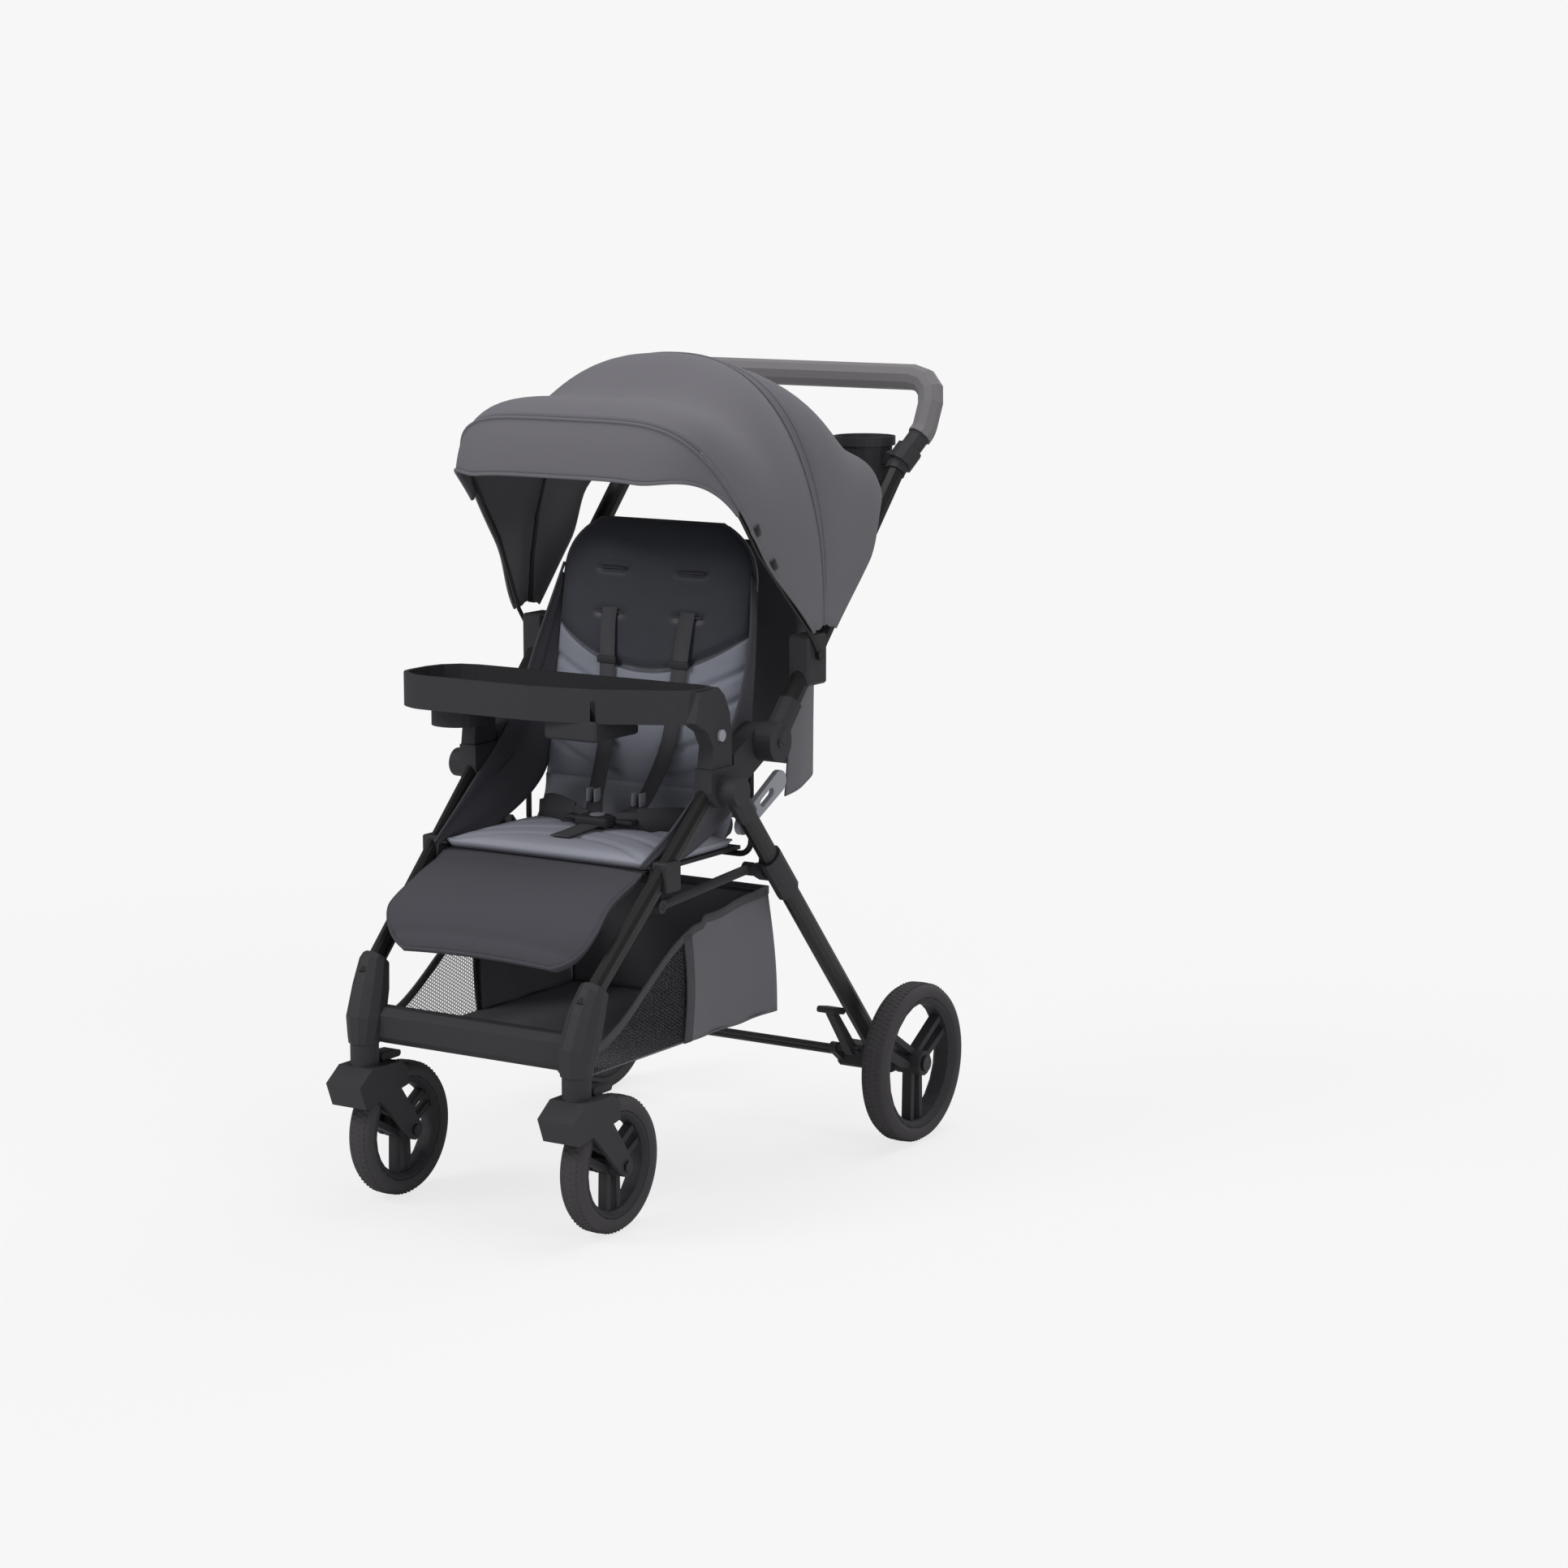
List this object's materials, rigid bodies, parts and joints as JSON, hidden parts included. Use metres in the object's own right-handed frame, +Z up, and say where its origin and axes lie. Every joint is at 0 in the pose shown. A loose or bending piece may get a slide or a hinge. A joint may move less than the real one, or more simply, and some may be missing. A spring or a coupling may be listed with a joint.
{
  "type": "stroller",
  "caption": "Folding child stroller with a swivelling snack tray, a hooped canopy, a reclining seat with a harness, a cargo basket and castor front wheels.",
  "frame": {"origin": "on the floor, below the middle of the overall width and length", "axes": "+Z up, the stroller faces -Y, +X is the seated child's left"},
  "size_m": [0.5708, 0.8146, 1.0737],
  "materials": {
    "black_plastic": "black moulded plastic with a soft sheen",
    "black_tube": "gloss black painted tube and wire",
    "tyre": "dark grey moulded tyre, matt",
    "grip_foam": "warm grey foam, matt",
    "canopy_cloth": "charcoal grey woven cloth",
    "seat_satin": "dark satin cloth",
    "seat_light": "light blue-grey woven cloth",
    "webbing": "dark grey webbing",
    "latch_grey": "mid grey moulded plastic"
  },
  "bodies": {
    "chassis": {"front_casting": "black_plastic", "front_leg_left": "black_tube", "front_leg_right": "black_tube", "side_bracket_left": "black_plastic", "side_bracket_right": "black_plastic", "seat_pan": "black_plastic", "seat_hanger": "black_tube", "seat_cushion": "seat_light", "leg_rest": "seat_satin", "basket": "canopy_cloth"},
    "push_frame": {"push_knuckle_left": "black_plastic", "push_knuckle_right": "black_plastic", "push_tube_left": "black_tube", "push_tube_right": "black_tube", "handle_bar": "black_plastic", "foam_grip": "grip_foam", "cup_holder": "black_plastic", "canopy_mount_left": "black_plastic", "canopy_mount_right": "black_plastic", "canopy_rear_bow": "black_tube", "canopy_rear_panel": "canopy_cloth", "canopy_front_panel": "canopy_cloth"},
    "canopy_hoop": {"canopy_front_bow": "black_tube", "canopy_visor": "canopy_cloth"},
    "rear_frame": {"rear_leg_left": "black_tube", "rear_leg_right": "black_tube", "rear_leg_cap_left": "black_plastic", "rear_leg_cap_right": "black_plastic", "rear_axle": "black_tube", "axle_housing_left": "black_plastic", "axle_housing_right": "black_plastic"},
    "seat_rails": {"seat_rail_left": "black_plastic", "seat_rail_right": "black_plastic"},
    "collars": {"leg_collar_left": "black_plastic", "leg_collar_right": "black_plastic"},
    "latch": {"storage_latch": "latch_grey"},
    "harness_base": {"harness_buckle": "black_plastic"},
    "harness_release": {"buckle_button": "latch_grey"},
    "seat_back": {"seat_back_pad": "seat_satin", "seat_shell": "canopy_cloth", "shoulder_straps": "webbing"},
    "tray_frame": {"tray": "black_plastic"},
    "brake_pedals": {"brake_bar": "black_plastic"},
    "castor_left": {"castor_fork_left": "black_plastic", "front_axle_bolt_left": "black_tube"},
    "front_wheel_left": {"front_tyre_left": "tyre", "front_hub_left": "black_plastic"},
    "lock_lever_left": {"swivel_lock_left": "black_plastic"},
    "rear_wheel_left": {"rear_tyre_left": "tyre", "rear_hub_left": "black_plastic"},
    "tray_latch_left": {"tray_button_left": "latch_grey"},
    "castor_right": {"castor_fork_right": "black_plastic", "front_axle_bolt_right": "black_tube"},
    "front_wheel_right": {"front_tyre_right": "tyre", "front_hub_right": "black_plastic"},
    "lock_lever_right": {"swivel_lock_right": "black_plastic"},
    "rear_wheel_right": {"rear_tyre_right": "tyre", "rear_hub_right": "black_plastic"},
    "tray_latch_right": {"tray_button_right": "latch_grey"}
  },
  "joints": [
    {"name": "fold", "type": "hinge", "parent": "chassis", "child": "push_frame", "pos_m": [0, 0.0102, 0.585], "axis": [-1, 0, 0], "range_deg": [0, 120]},
    {"name": "rear_frame_fold", "type": "hinge", "parent": "chassis", "child": "rear_frame", "pos_m": [0, -0.0808, 0.533], "axis": [-1, 0, 0], "range_deg": [0, 45.3]},
    {"name": "seat_rail_fold", "type": "hinge", "parent": "chassis", "child": "seat_rails", "pos_m": [0, -0.1985, 0.4005], "axis": [-1, 0, 0], "range_deg": [0, 66.7]},
    {"name": "collar_slide", "type": "slide", "parent": "rear_frame", "child": "collars", "axis": [0, 0.658, -0.753], "range_m": [0, 0.17]},
    {"name": "seat_back_fold", "type": "hinge", "parent": "chassis", "child": "harness_base", "pos_m": [0, 0.0372, 0.462], "axis": [-1, 0, 0], "range_deg": [0, 42.1]},
    {"name": "recline", "type": "hinge", "parent": "harness_base", "child": "seat_back", "pos_m": [0, 0.0372, 0.462], "axis": [-1, 0, 0], "range_deg": [0, 35], "deforming": ["seat_shell", "shoulder_straps"]},
    {"name": "canopy_open", "type": "hinge", "parent": "push_frame", "child": "canopy_hoop", "pos_m": [0, 0.0937, 0.69], "axis": [-1, 0, 0], "range_deg": [0, 25], "deforming": ["canopy_front_panel"]},
    {"name": "tray_swing", "type": "hinge", "parent": "chassis", "child": "tray_frame", "pos_m": [-0.187, -0.0858, 0.563], "axis": [0, 0, -1], "range_deg": [0, 100]},
    {"name": "harness_release_press", "type": "slide", "parent": "harness_base", "child": "harness_release", "axis": [0, 0, -1], "range_m": [0, 0.002], "stiffness_N_per_m": 1500, "springref_m": -0.001},
    {"name": "brake_press", "type": "hinge", "parent": "rear_frame", "child": "brake_pedals", "pos_m": [0, 0.2571, 0.123], "axis": [1, 0, 0], "range_deg": [0, 20]},
    {"name": "latch_swing", "type": "hinge", "parent": "rear_frame", "child": "latch", "pos_m": [0.1954, -0.03474, 0.48029], "axis": [-1, 0, 0], "range_deg": [0, 40]},
    {"name": "castor_swivel_left", "type": "hinge", "parent": "chassis", "child": "castor_left", "pos_m": [0.166, -0.3627, 0.2145], "axis": [0, 0, 1], "continuous": true},
    {"name": "front_wheel_spin_left", "type": "hinge", "parent": "castor_left", "child": "front_wheel_left", "pos_m": [0.166, -0.2948, 0.0883], "axis": [1, 0, 0], "continuous": true},
    {"name": "swivel_lock_lift_left", "type": "hinge", "parent": "castor_left", "child": "lock_lever_left", "pos_m": [0.166, -0.3382, 0.1916], "axis": [1, 0, 0], "range_deg": [0, 20]},
    {"name": "rear_wheel_spin_left", "type": "hinge", "parent": "rear_frame", "child": "rear_wheel_left", "pos_m": [0.2614, 0.2891, 0.1097], "axis": [1, 0, 0], "continuous": true},
    {"name": "tray_button_press_left", "type": "slide", "parent": "tray_frame", "child": "tray_latch_left", "axis": [-1, 0, 0], "range_m": [0, 0.003], "stiffness_N_per_m": 1500, "springref_m": -0.001},
    {"name": "castor_swivel_right", "type": "hinge", "parent": "chassis", "child": "castor_right", "pos_m": [-0.166, -0.3627, 0.2145], "axis": [0, 0, 1], "continuous": true},
    {"name": "front_wheel_spin_right", "type": "hinge", "parent": "castor_right", "child": "front_wheel_right", "pos_m": [-0.166, -0.2948, 0.0883], "axis": [1, 0, 0], "continuous": true},
    {"name": "swivel_lock_lift_right", "type": "hinge", "parent": "castor_right", "child": "lock_lever_right", "pos_m": [-0.166, -0.3382, 0.1916], "axis": [1, 0, 0], "range_deg": [0, 20]},
    {"name": "rear_wheel_spin_right", "type": "hinge", "parent": "rear_frame", "child": "rear_wheel_right", "pos_m": [-0.2614, 0.2891, 0.1097], "axis": [1, 0, 0], "continuous": true},
    {"name": "tray_button_press_right", "type": "slide", "parent": "tray_frame", "child": "tray_latch_right", "axis": [1, 0, 0], "range_m": [0, 0.003], "stiffness_N_per_m": 1500, "springref_m": -0.001}
  ],
  "couplings": [
    {"joint": "rear_frame_fold", "follows": "fold", "ratio": 0.377},
    {"joint": "seat_rail_fold", "follows": "fold", "ratio": 0.555},
    {"joint": "collar_slide", "follows": "fold", "m_per_rad": 0.081},
    {"joint": "seat_back_fold", "follows": "fold", "ratio": 0.35}
  ]
}
